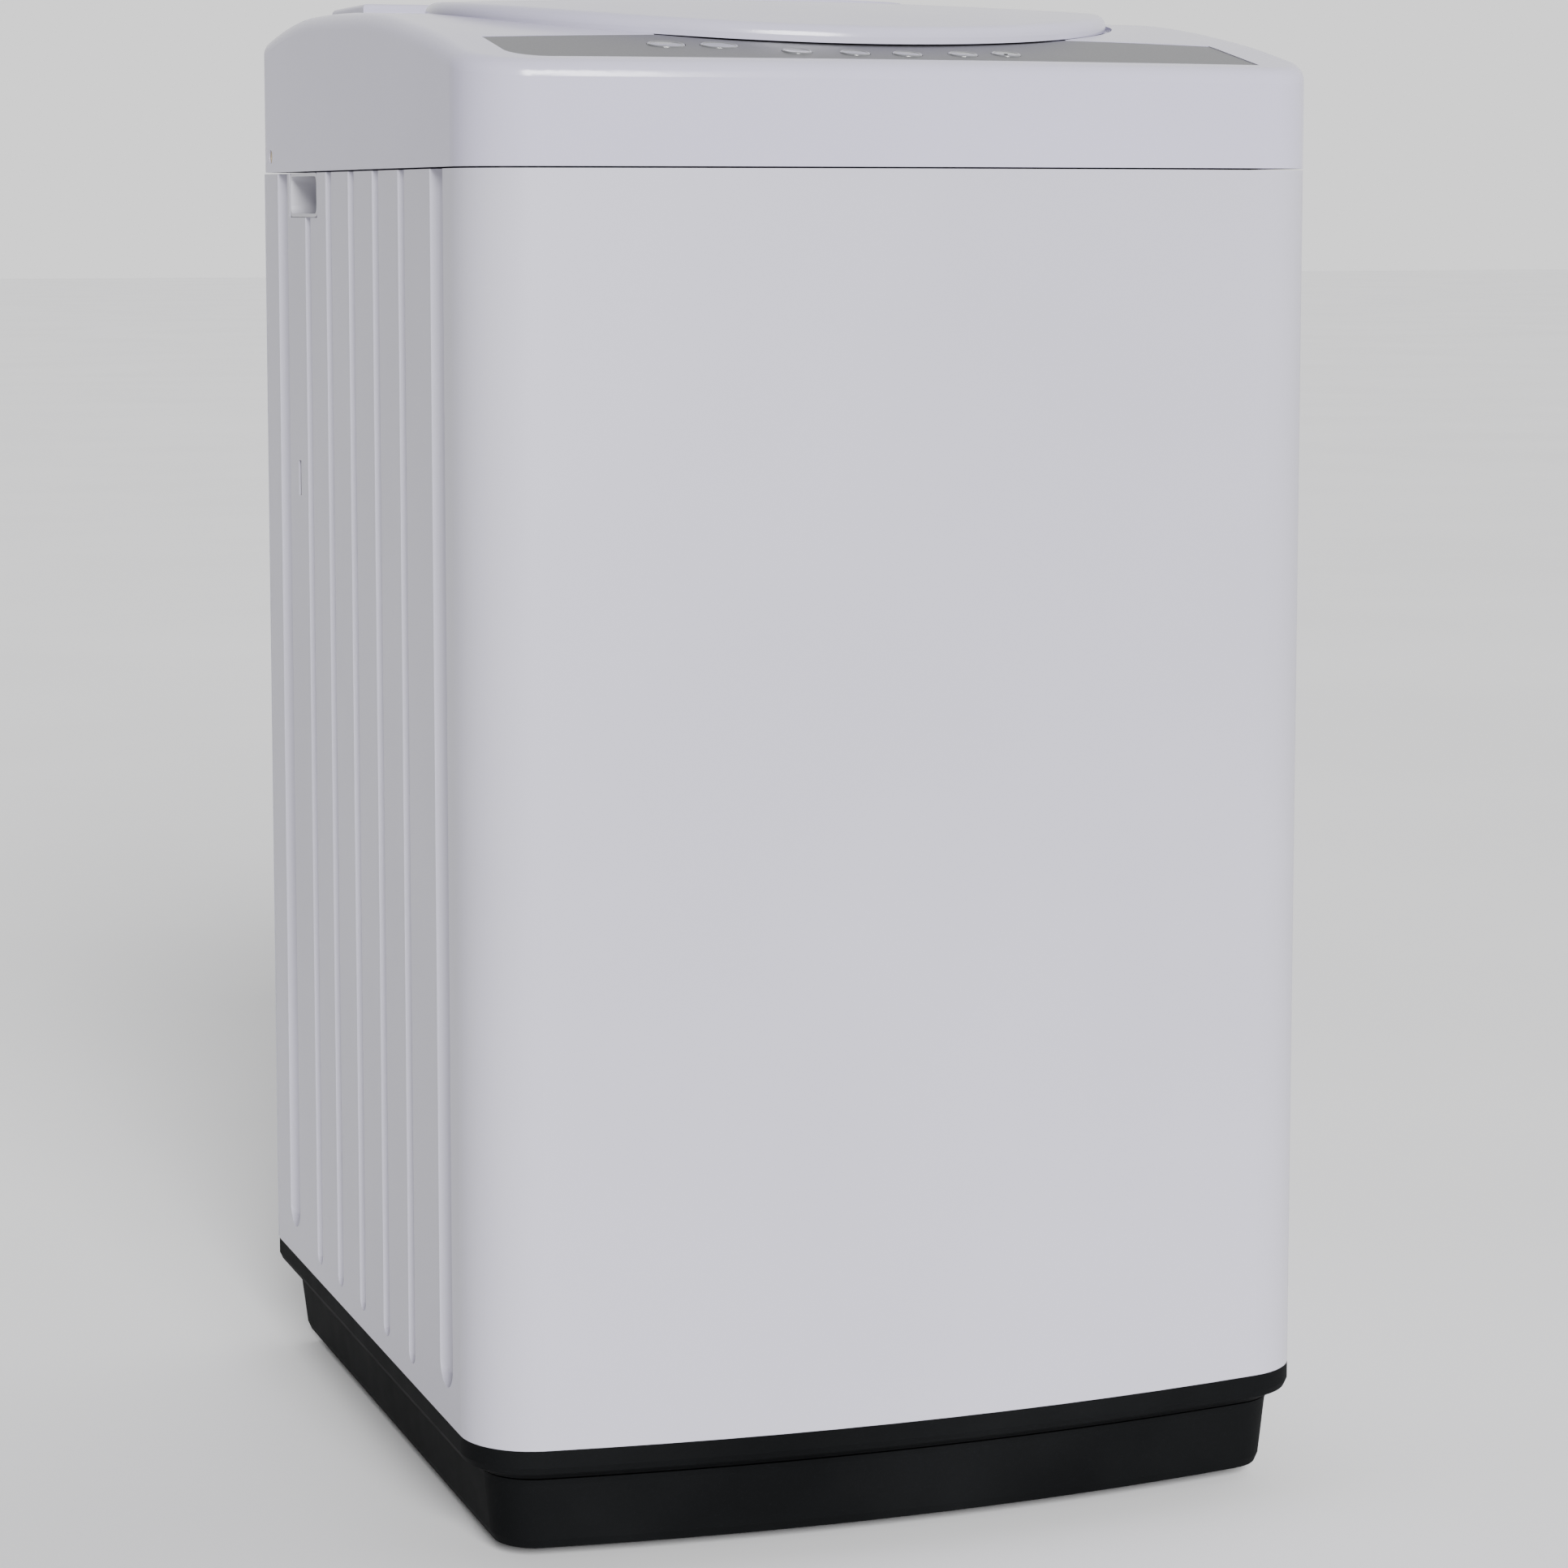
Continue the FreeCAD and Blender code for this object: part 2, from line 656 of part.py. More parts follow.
def make_rod(x, y):
    # Ball cap on the corner bracket, long rod, washer that carries the spring.
    cap = bracket_z + 5
    profile = [(0, rod_bottom), (15, rod_bottom), (15, rod_bottom + 5), (rod_radius, rod_bottom + 5),
               (rod_radius, cap), (11, cap), (8, cap + 9), (0, cap + 12)]
    return turned(profile, None, x, y)


def make_spring(x, y):
    low = rod_bottom + 5 + spring_wire + 0.2
    high = lug_z - 12 - spring_wire - 0.2
    turns = 8.0
    helix = Part.makeHelix((high - low) / turns, high - low, spring_radius - spring_wire)
    helix.translate(vec(0, 0, low))
    start = vec(spring_radius - spring_wire, 0, low)
    ring = Part.Wire(Part.makeCircle(spring_wire, start, vec(0, 1, 0)))
    coil = Part.Wire(helix.Edges).makePipeShell([ring], True, True)
    coil.translate(vec(x, y, 0))
    return coil


def make_cups():
    cups = []
    for x_side in side_signs:
        for y_side in side_signs:
            x, y = rod_place(x_side, y_side)
            profile = [(rod_radius + 0.4, lug_z - 12), (16, lug_z - 12), (16, lug_z),
                       (rod_radius + 0.4, lug_z)]
            cups.append(turned(profile, None, x, y))
    return Part.makeCompound(cups)


def make_tub():
    wall_in = tub_radius - tub_wall
    shell = turned([(45, tub_bottom), (185, tub_bottom), (tub_radius, tub_bottom + 16),
                    (tub_radius, tub_top - 5), (tub_radius + 5, tub_top - 5),
                    (tub_radius + 5, tub_top), (wall_in, tub_top), (wall_in, tub_bottom + 18),
                    (184, tub_bottom + 3.5), (45, tub_bottom + 3.5)])
    parts = [shell]
    for x_side in side_signs:
        for y_side in side_signs:
            x, y = rod_place(x_side, y_side)
            arm = box(tub_radius - 2, 304, -20, 20, lug_z, lug_z + lug_thickness)
            web = box(tub_radius - 2, 262, -3, 3, lug_z + lug_thickness, lug_z + 60)
            turn = math.degrees(math.atan2(y - axis_y, x))
            for piece in (arm, web):
                piece.rotate(vec(0, 0, 0), up, turn)
                piece.translate(vec(0, axis_y, 0))
                parts.append(piece)
    tub = joined(parts)
    for x_side in side_signs:
        for y_side in side_signs:
            x, y = rod_place(x_side, y_side)
            tub = tub.cut(post(rod_radius + 0.4, x, y, lug_z - 1, lug_z + 20))
    return tub.cut(post(11, valve_x, valve_y, tub_bottom - 5, tub_bottom + 10))


def make_tub_ring():
    return turned([(tub_radius + 5, tub_top), (tub_radius + 5, tub_top + 6), (186, tub_top + 20),
                   (172, tub_top + 20), (172, tub_top + 16), (184, tub_top + 16),
                   (tub_radius - 3, tub_top + 2.5), (tub_radius - 3, tub_top)])


def make_basket():
    # Stainless drum with a flanged bottom edge and a row of pressed bands.
    thick = 1.0
    inner = basket_radius - thick
    bead = 2.0
    outer_side = [(basket_radius, basket_bottom)]
    inner_side = [(inner, basket_bottom + thick)]
    for z in (360, 460, 560):
        outer_side += [(basket_radius, z - 6), (basket_radius + bead, z), (basket_radius, z + 6)]
        inner_side += [(inner, z - 6), (inner + bead, z), (inner, z + 6)]
    outer_side.append((basket_radius, basket_top + 10))
    inner_side.append((inner, basket_top + 10))
    profile = [(152, basket_bottom)] + outer_side + inner_side[::-1] + [(152, basket_bottom + thick)]
    return turned(profile)


def make_basket_hub():
    # Cast flange under the drum, on the hollow spin shaft.
    hub = turned([(10 + running_fit, 212), (20, 212), (20, 262), (34, 264), (140, 264), (190, 270),
                  (190, basket_bottom), (34, basket_bottom), (26, 279), (10 + running_fit, 279)])
    ribs = []
    for i in range(8):
        rib = box(36, 150, -2, 2, 259.5, 265)
        rib.rotate(vec(0, 0, 0), up, 45 * i)
        rib.translate(vec(0, axis_y, 0))
        ribs.append(rib)
    return joined([hub] + ribs)


def make_balance_ring():
    return turned([(basket_radius + 0.3, basket_top - 10), (202, basket_top - 10), (202, ring_top - 4),
                   (198, ring_top), (174, ring_top), (168, ring_top - 6), (168, basket_top + 12),
                   (basket_radius + 0.3, basket_top + 12)])


def make_lint_filter():
    ring = post(basket_radius - 1.3, 0, axis_y, 400, 540).cut(post(176, 0, axis_y, 400, 540))
    block = ring.common(box(-34, 34, 150, 210, 400, 540))
    window = box(-26, 26, 150, axis_y + 190, 412, 528)
    frame = block.cut(window.common(post(183, 0, axis_y, 400, 540)))
    return frame


def make_pulsator():
    # Shallow domed disc with four curved fins.
    disc = turned([(11, 281), (pulsator_radius - 6, 281), (pulsator_radius, 284), (pulsator_radius, 287),
                   (90, 292), (34, 300), (24, 306), (11, 306)])
    fins = []
    for i in range(4):
        fin = turned([(30, 285), (136, 285), (134, 290), (80, 312), (36, 318), (30, 316)])
        keep = box(0, 160, -7, 7, 280, 330)
        keep.translate(vec(0, axis_y, 0))
        fin = fin.common(keep)
        fin.rotate(vec(0, axis_y, 0), up, 90 * i)
        fins.append(fin)
    return joined([disc] + fins)


def make_drive_shaft():
    # Output shaft from the gearbox up to the pulsator.
    return turned([(0, 206), (10, 206), (10, 282), (11, 282), (11, 298), (0, 298)])


def make_pulsator_screw():
    return turned([(0, 298), (4, 298), (4, 306), (13, 306), (11, 310), (0, 311)])


def make_gearbox():
    body = turned([(8 + running_fit, 172), (30, 172), (34, 178), (52, 182), (52, 240), (46, 246),
                   (84, 246), (84, tub_bottom), (44.5, tub_bottom), (44.5, 256), (20 + running_fit, 256),
                   (20 + running_fit, 209), (12, 204), (8 + running_fit, 204)])
    lever = box(50, 92, -6, 6, 214, 220)
    lever.rotate(vec(0, 0, 0), up, 200)
    lever.translate(vec(0, axis_y, 0))
    return body.fuse(lever)


def make_pulley(x, y, floor, shaft, shaft_top):
    rim = floor + 8
    top = pulley_z + pulley_height
    low = pulley_z + 4
    high = top - 4
    profile = [(0, pulley_z - 4), (shaft + 4, pulley_z - 4), (shaft + 4, pulley_z + 5),
               (floor - 6, pulley_z + 5), (floor - 6, pulley_z), (rim, pulley_z), (rim, low),
               (floor, low + 1), (floor, high - 1), (rim, high), (rim, top), (floor - 6, top),
               (floor - 6, top - 5), (shaft, top - 5), (shaft, shaft_top), (0, shaft_top)]
    return turned(profile, None, x, y)


def belt_face(radius_big, radius_small, z):
    start = vec(0, axis_y, z)
    other = vec(motor_x, motor_y, z)
    run = other - start
    lean = math.acos((radius_big - radius_small) / run.Length)
    heading = math.atan2(run.y, run.x)

    def around(centre, radius, angle):
        return centre + vec(math.cos(angle) * radius, math.sin(angle) * radius, 0)

    big = [around(start, radius_big, heading + a) for a in (lean, math.pi, -lean)]
    small = [around(other, radius_small, heading + a) for a in (-lean, 0, lean)]
    edges = [Part.Arc(*big).toShape(),
             Part.LineSegment(big[2], small[0]).toShape(),
             Part.Arc(*small).toShape(),
             Part.LineSegment(small[2], big[0]).toShape()]
    return Part.Face(Part.Wire(edges))


def make_belt():
    low = pulley_z + 5.6
    high = pulley_z + pulley_height - 5.6
    inner = belt_face(belt_floor_big + belt_clearance, belt_floor_small + belt_clearance, low)
    grown = belt_clearance + belt_thickness
    outer = belt_face(belt_floor_big + grown, belt_floor_small + grown, low)
    rise = vec(0, 0, high - low)
    return outer.extrude(rise).cut(inner.extrude(rise))


def make_motor():
    body = turned([(7 + running_fit, 152), (20, 152), (20, 158), (motor_radius - 8, 158),
                   (motor_radius, 166), (motor_radius, 222), (motor_radius - 8, 230),
                   (20, 230), (20, 233), (0, 233), (0, 170), (7 + running_fit, 170)],
                  None, motor_x, motor_y)
    return body


def make_motor_bracket():
    plate = box(-66, 66, -66, 66, 233, 236)
    plate.rotate(vec(0, 0, 0), up, 45)
    plate.translate(vec(motor_x, motor_y, 0))
    plate = plate.common(post(215, 0, axis_y, 200, 300)).cut(post(86, 0, axis_y, 200, 300))
    studs = []
    for dx, dy in ((48, 0), (-20, -62), (0, 66), (34, -36)):
        studs.append(post(6, motor_x + dx, motor_y + dy, 236, tub_bottom))
    return joined([plate] + studs)


def make_capacitor():
    can = turned([(0, 24), (20, 24), (20, 92), (17, 95), (0, 95)], None, -190, -120)
    clamp = turned([(20, 40), (23, 40), (23, 52), (20, 52)], None, -190, -120)
    plug = box(-194, -186, -124, -116, foot_height + 5, 24)
    return joined([can, clamp, plug])


def make_drain_valve():
    body = turned([(0, 214), (20, 214), (20, 244), (26, 246), (26, tub_bottom), (0, tub_bottom)],
                  None, valve_x, valve_y)
    spout = post(11, valve_x, valve_y, 200, 214)
    arm = box(valve_x - 8, valve_x + 8, valve_y + 18, valve_y + 44, 222, 236)
    return joined([body, spout, arm])


def make_drain_actuator():
    body = box(valve_x - 17, valve_x + 17, valve_y + 44, valve_y + 84, 214, 244)
    plate = box(valve_x - 13, valve_x + 13, valve_y + 50, valve_y + 78, 244, tub_bottom)
    return body.fuse(plate)


def make_drain_hose():
    # From the drain valve down and back to the outlet in the base.
    points = [vec(valve_x, valve_y, 213), vec(valve_x, valve_y, 84), vec(-122, 92, 44),
              vec(-142, 140, outlet_z), vec(outlet_x, 190, outlet_z),
              vec(outlet_x, rear_y - 27.1, outlet_z)]
    path = rounded_wire(points, [0, 24, 30, 60, 100, 0], False)
    outer = Part.Wire(Part.makeCircle(13.5, points[0], vec(0, 0, -1)))
    inner = Part.Wire(Part.makeCircle(11.1, points[0], vec(0, 0, -1)))
    hose = path.makePipeShell([outer], True, False)
    return hose.cut(path.makePipeShell([inner], True, False))


def make_drain_outlet():
    barb = rod_along_y(11, rear_y - 40, rear_y - 24, outlet_x, outlet_z)
    shoulder = rod_along_y(spigot_radius + 2.9, rear_y - 24, rear_y - 12, outlet_x, outlet_z)
    spigot = rod_along_y(spigot_radius, rear_y - 12, rear_y - 1, outlet_x, outlet_z)
    collar = rod_along_y(19, rear_y - 27, rear_y - 22.5, outlet_x, outlet_z)
    outlet = joined([barb, spigot, shoulder, collar])
    return outlet.cut(rod_along_y(9, rear_y - 42, rear_y, outlet_x, outlet_z))


def make_cord_gland():
    # Grommet for the power cord, in the rear wall of the cover.
    sleeve = rod_along_y(gland_radius - 0.05, rear_y - 12, rear_y - 0.5, -inlet_x, inlet_z)
    flange = rod_along_y(gland_radius + 3, rear_y - 12, rear_y - cover_wall, -inlet_x, inlet_z)
    gland = sleeve.fuse(flange)
    return gland.cut(rod_along_y(3.6, rear_y - 20, rear_y + 1, -inlet_x, inlet_z))


def make_cover_screws():
    screws = []
    for side in side_signs:
        head = rod_along_x(4, half_width - 5, half_width - 0.7, 243, 795)
        stem = rod_along_x(2, half_width - 14, half_width - 5, 243, 795)
        screw = head.fuse(stem)
        if side < 0:
            screw = screw.mirror(vec(0, 0, 0), vec(1, 0, 0))
        screws.append(screw)
    return Part.makeCompound(screws)


def make_rear_screws():
    screws = []
    for x in (-245, 245):
        for z in (90, 260, 430, 600, 770):
            head = rod_along_y(3.6, rear_y - 4.8, rear_y - 2.4, x, z)
            screws.append(head)
    return Part.makeCompound(screws)


def save(name, shape):
    solids = [solid for solid in shape.Solids if solid.Volume > 1]
    if len(solids) == 1:
        shape = solids[0]
    else:
        shape = Part.makeCompound(solids)
    low = shape.BoundBox
    print(name, len(solids), "valid" if shape.isValid() else "NOT VALID",
          [round(v, 1) for v in (low.XMin, low.XMax, low.YMin, low.YMax, low.ZMin, low.ZMax)],
          round(shape.Volume / 1000), flush=True)
    shape.exportStep("parts/" + name + ".step")


def main():
    os.makedirs("parts", exist_ok=True)
    space = cabinet_space()
    save("base_tray", make_base())
    save("cabinet", make_cabinet(space))
    save("corner_brackets", make_brackets(space))
    save("rear_panel", make_rear_panel())
    save("grip_left", make_grip(-1))
    save("grip_right", make_grip(1))
    save("side_clips", make_side_clips())
    save("rear_feet", make_rear_feet())
    save("front_foot_left", make_front_foot(-1))
    save("front_foot_right", make_front_foot(1))
    save("top_cover", make_cover())
    save("panel_overlay", make_overlay())
    for number, row in enumerate(button_rows, 1):
        save("button_" + str(number), make_button(row))
    save("control_case", make_control_case())
    save("control_board", make_control_board())
    save("lid_shell", make_lid_shell())
    save("lid_liner", make_lid_liner())
    save("hinge_pins", make_hinge_pins())
    save("lid_switch", make_lid_switch())
    save("inlet_valve", make_inlet_valve())
    save("inlet_duct", make_inlet_duct())
    save("level_sensor", make_level_sensor())
    for x_side, x_name in ((-1, "left"), (1, "right")):
        for y_side, y_name in ((-1, "front"), (1, "rear")):
            x, y = rod_place(x_side, y_side)
            save("rod_" + y_name + "_" + x_name, make_rod(x, y))
            save("spring_" + y_name + "_" + x_name, make_spring(x, y))
    save("damper_cups", make_cups())
    save("outer_tub", make_tub())
    save("tub_ring", make_tub_ring())
    save("basket", make_basket())
    save("basket_hub", make_basket_hub())
    save("balance_ring", make_balance_ring())
    save("lint_filter", make_lint_filter())
    save("pulsator", make_pulsator())
    save("drive_shaft", make_drive_shaft())
    save("pulsator_screw", make_pulsator_screw())
    save("gearbox", make_gearbox())
    save("tub_pulley", make_pulley(0, axis_y, belt_floor_big, 8, 203))
    save("motor_pulley", make_pulley(motor_x, motor_y, belt_floor_small, 7, 169))
    save("belt", make_belt())
    save("motor", make_motor())
    save("motor_bracket", make_motor_bracket())
    save("capacitor", make_capacitor())
    save("drain_valve", make_drain_valve())
    save("drain_actuator", make_drain_actuator())
    save("drain_hose", make_drain_hose())
    save("drain_outlet", make_drain_outlet())
    save("cord_gland", make_cord_gland())
    save("cover_screws", make_cover_screws())
    save("rear_screws", make_rear_screws())


main()
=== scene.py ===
import json
import math
import bmesh
import bpy
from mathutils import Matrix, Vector


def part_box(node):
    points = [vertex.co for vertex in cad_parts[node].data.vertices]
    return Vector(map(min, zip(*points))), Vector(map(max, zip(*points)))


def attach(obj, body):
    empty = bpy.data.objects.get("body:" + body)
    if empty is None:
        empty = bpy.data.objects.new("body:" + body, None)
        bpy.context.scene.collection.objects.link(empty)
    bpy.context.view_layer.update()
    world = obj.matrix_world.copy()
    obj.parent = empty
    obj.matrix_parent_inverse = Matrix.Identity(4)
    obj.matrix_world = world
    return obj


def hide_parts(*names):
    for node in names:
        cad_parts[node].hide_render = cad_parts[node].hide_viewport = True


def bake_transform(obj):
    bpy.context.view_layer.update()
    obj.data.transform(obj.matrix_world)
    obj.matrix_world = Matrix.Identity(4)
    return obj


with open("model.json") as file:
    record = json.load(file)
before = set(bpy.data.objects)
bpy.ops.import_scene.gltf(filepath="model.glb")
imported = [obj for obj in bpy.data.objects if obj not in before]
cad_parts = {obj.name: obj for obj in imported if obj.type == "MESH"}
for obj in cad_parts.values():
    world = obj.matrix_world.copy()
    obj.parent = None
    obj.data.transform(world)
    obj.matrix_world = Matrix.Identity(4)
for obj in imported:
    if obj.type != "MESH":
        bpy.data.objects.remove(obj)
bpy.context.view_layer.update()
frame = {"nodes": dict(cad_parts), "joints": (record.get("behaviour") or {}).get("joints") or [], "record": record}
cadNodes = frame["nodes"]
mm = 0.001
print("frame loaded:", len(cadNodes), "nodes")


def linear(hexText):  # sRGB hex to linear colour
    parts = [int(hexText[i:i + 2], 16) / 255 for i in (0, 2, 4)]
    return tuple(p / 12.92 if p <= 0.04045 else ((p + 0.055) / 1.055) ** 2.4 for p in parts) + (1.0,)


def addNode(tree, kind, settings=None, links=None):  # one node with its settings and what feeds it
    node = tree.nodes.new(kind)
    for name, value in (settings or {}).items():
        if isinstance(name, int) or name in node.inputs:
            node.inputs[name].default_value = value
        else:
            setattr(node, name, value)
    for name, source in (links or {}).items():
        tree.links.new(source, node.inputs[name])
    return node


def startMaterial(name, look):  # a principled surface from a look's colour, roughness, metallic and IOR
    material = bpy.data.materials.new(name)
    material.use_nodes = True
    tree = material.node_tree
    shader = tree.nodes["Principled BSDF"]
    shader.inputs["Base Color"].default_value = linear(look["colour"])
    shader.inputs["Roughness"].default_value = look["roughness"]
    shader.inputs["Metallic"].default_value = look.get("metallic", 0.0)
    if "ior" in look:
        shader.inputs["IOR"].default_value = look["ior"]
    if "specular" in look:
        shader.inputs["Specular IOR Level"].default_value = look["specular"]
    if "coat" in look:
        shader.inputs["Coat Weight"].default_value = look["coat"]
        shader.inputs["Coat Roughness"].default_value = look.get("coatRoughness", 0.05)
    material.diffuse_color = linear(look["colour"])
    return material, tree, shader


def spotNoise(tree, sizeMm, detail=3.0, stretch=(1, 1, 1)):  # noise whose blobs are about sizeMm wide
    where = addNode(tree, "ShaderNodeTexCoord")
    mapping = addNode(tree, "ShaderNodeMapping", {"Scale": stretch},
                      {"Vector": where.outputs["Object"]})
    return addNode(tree, "ShaderNodeTexNoise", {"Scale": 1000 / sizeMm / 2, "Detail": detail},
                   {"Vector": mapping.outputs["Vector"]})


def varyColour(tree, shader, noise, darkHex, paleHex):  # drift between two close colours
    ramp = addNode(tree, "ShaderNodeValToRGB", {}, {"Fac": noise.outputs["Fac"]})
    ramp.color_ramp.elements[0].position = 0.35
    ramp.color_ramp.elements[1].position = 0.65
    ramp.color_ramp.elements[0].color = linear(darkHex)
    ramp.color_ramp.elements[1].color = linear(paleHex)
    tree.links.new(ramp.outputs["Color"], shader.inputs["Base Color"])


def varyRoughness(tree, shader, noise, low, high):  # handling marks and uneven gloss
    spread = addNode(tree, "ShaderNodeMapRange", {"To Min": low, "To Max": high},
                     {"Value": noise.outputs["Fac"]})
    tree.links.new(spread.outputs["Result"], shader.inputs["Roughness"])


def addBump(tree, shader, height, depthMm, strength=1.0):  # raised texture of a real depth
    bump = addNode(tree, "ShaderNodeBump", {"Strength": strength, "Distance": depthMm * mm},
                   {"Height": height})
    tree.links.new(bump.outputs["Normal"], shader.inputs["Normal"])


powderCoatLook = {"colour": "BDBBC8", "dark": "BAB8C5", "pale": "C0BECB", "roughness": 0.33, "ior": 1.5,
                  "driftMm": 180, "smearMm": 60, "peelMm": 2.2, "peelDepthMm": 0.012}


def powderCoatedSteel():  # sprayed and baked: soft broad highlight with a faint orange peel
    look = powderCoatLook
    material, tree, shader = startMaterial("powderCoatedSteel", look)
    varyColour(tree, shader, spotNoise(tree, look["driftMm"]), look["dark"], look["pale"])
    peel = spotNoise(tree, look["peelMm"], 2.0)
    addBump(tree, shader, peel.outputs["Fac"], look["peelDepthMm"])
    varyRoughness(tree, shader, spotNoise(tree, look["smearMm"]),
                  look["roughness"] - 0.03, look["roughness"] + 0.04)
    return material


glossAbsLook = {"colour": "BDBACE", "dark": "BBB8CC", "pale": "C0BDD1", "roughness": 0.17, "ior": 1.53,
                "driftMm": 120, "smearMm": 25, "waveMm": 30, "waveDepthMm": 0.03}


def glossMouldedAbs():  # polished mould: sharp reflections that wander a little over the sinks
    look = glossAbsLook
    material, tree, shader = startMaterial("glossMouldedAbs", look)
    varyColour(tree, shader, spotNoise(tree, look["driftMm"]), look["dark"], look["pale"])
    varyRoughness(tree, shader, spotNoise(tree, look["smearMm"]),
                  look["roughness"] - 0.03, look["roughness"] + 0.05)
    wave = spotNoise(tree, look["waveMm"], 1.0)
    addBump(tree, shader, wave.outputs["Fac"], look["waveDepthMm"], 0.5)
    return material


satinAbsLook = {"colour": "C4C3CB", "dark": "C0BFC8", "pale": "C8C7CE", "roughness": 0.42, "ior": 1.53,
                "driftMm": 40, "grainMm": 0.9, "grainDepthMm": 0.02}  # real etch is finer than the grain


def satinMouldedAbs():  # lightly etched mould: white without a clear reflection
    look = satinAbsLook
    material, tree, shader = startMaterial("satinMouldedAbs", look)
    varyColour(tree, shader, spotNoise(tree, look["driftMm"]), look["dark"], look["pale"])
    addBump(tree, shader, spotNoise(tree, look["grainMm"]).outputs["Fac"], look["grainDepthMm"])
    return material


baseLook = {"colour": "0E0F10", "dark": "0B0C0D", "pale": "121314", "roughness": 0.72, "ior": 1.49,
            "specular": 0.05, "driftMm": 70, "smearMm": 15, "grainMm": 1.1, "grainDepthMm": 0.05}


def grainedPolypropylene():  # spark-eroded mould: near-black and dull, grain shows where light grazes
    look = baseLook
    material, tree, shader = startMaterial("grainedPolypropylene", look)
    varyColour(tree, shader, spotNoise(tree, look["driftMm"]), look["dark"], look["pale"])
    where = addNode(tree, "ShaderNodeTexCoord")
    grain = addNode(tree, "ShaderNodeTexVoronoi", {"Scale": 1000 / look["grainMm"]},
                    {"Vector": where.outputs["Object"]})
    addBump(tree, shader, grain.outputs["Distance"], look["grainDepthMm"], 0.6)
    varyRoughness(tree, shader, spotNoise(tree, look["smearMm"]),
                  look["roughness"] - 0.06, look["roughness"] + 0.08)
    return material


overlayLook = {"colour": "505054", "dark": "4C4C50", "pale": "56565A", "roughness": 0.38, "ior": 1.45,
               "metallic": 0.2, "flakeMm": 0.6}  # real flakes are finer, this is as coarse as shows


def silverPrintedFilm():  # polycarbonate film printed silver on its back: clear gloss over fine flakes
    look = overlayLook
    material, tree, shader = startMaterial("silverPrintedFilm", look)
    varyColour(tree, shader, spotNoise(tree, look["flakeMm"], 2.0), look["dark"], look["pale"])
    return material


buttonLook = {"colour": "6C6D71", "dark": "68696D", "pale": "727377", "roughness": 0.18, "ior": 1.58,
              "coat": 0.5, "driftMm": 4, "glow": 0.12, "glowReach": (0.004, 0.004, 0.005)}


def frostedPolycarbonate():  # grey translucent key caps: glossy, a little light gathers in the edge
    look = buttonLook
    material, tree, shader = startMaterial("frostedPolycarbonate", look)
    varyColour(tree, shader, spotNoise(tree, look["driftMm"]), look["dark"], look["pale"])
    shader.inputs["Subsurface Weight"].default_value = look["glow"]
    shader.inputs["Subsurface Radius"].default_value = look["glowReach"]
    return material


zincLook = {"colour": "A9ABAD", "dark": "96999C", "pale": "B9BBBC", "roughness": 0.38, "metallic": 1.0,
            "spangleMm": 9, "dull": 0.48, "bright": 0.30}


def zincCoatedSteel():  # hot dipped: cells of slightly different grey
    look = zincLook
    material, tree, shader = startMaterial("zincCoatedSteel", look)
    where = addNode(tree, "ShaderNodeTexCoord")
    cells = addNode(tree, "ShaderNodeTexVoronoi", {"Scale": 1000 / look["spangleMm"]},
                    {"Vector": where.outputs["Object"]})
    grey = addNode(tree, "ShaderNodeRGBToBW", {}, {"Color": cells.outputs["Color"]})
    ramp = addNode(tree, "ShaderNodeValToRGB", {}, {"Fac": grey.outputs["Val"]})
    ramp.color_ramp.elements[0].color = linear(look["dark"])
    ramp.color_ramp.elements[1].color = linear(look["pale"])
    tree.links.new(ramp.outputs["Color"], shader.inputs["Base Color"])
    spread = addNode(tree, "ShaderNodeMapRange", {"To Min": look["bright"], "To Max": look["dull"]},
                     {"Value": grey.outputs["Val"]})
    tree.links.new(spread.outputs["Result"], shader.inputs["Roughness"])
    return material


stainlessLook = {"colour": "DADAD8", "dark": "D2D2D1", "pale": "E2E2E0", "roughness": 0.38, "metallic": 1.0,
                 "strokeMm": 0.8}  # real rolling lines are finer, this is as coarse as shows


def rolledStainless():  # bright rolled sheet: long fine lines that blur a reflection one way
    look = stainlessLook
    material, tree, shader = startMaterial("rolledStainless", look)
    lines = spotNoise(tree, look["strokeMm"], 2.0, (0.02, 0.02, 1))
    varyColour(tree, shader, lines, look["dark"], look["pale"])
    varyRoughness(tree, shader, lines, look["roughness"] - 0.06, look["roughness"] + 0.1)
    addBump(tree, shader, lines.outputs["Fac"], 0.01, 0.4)
    return material


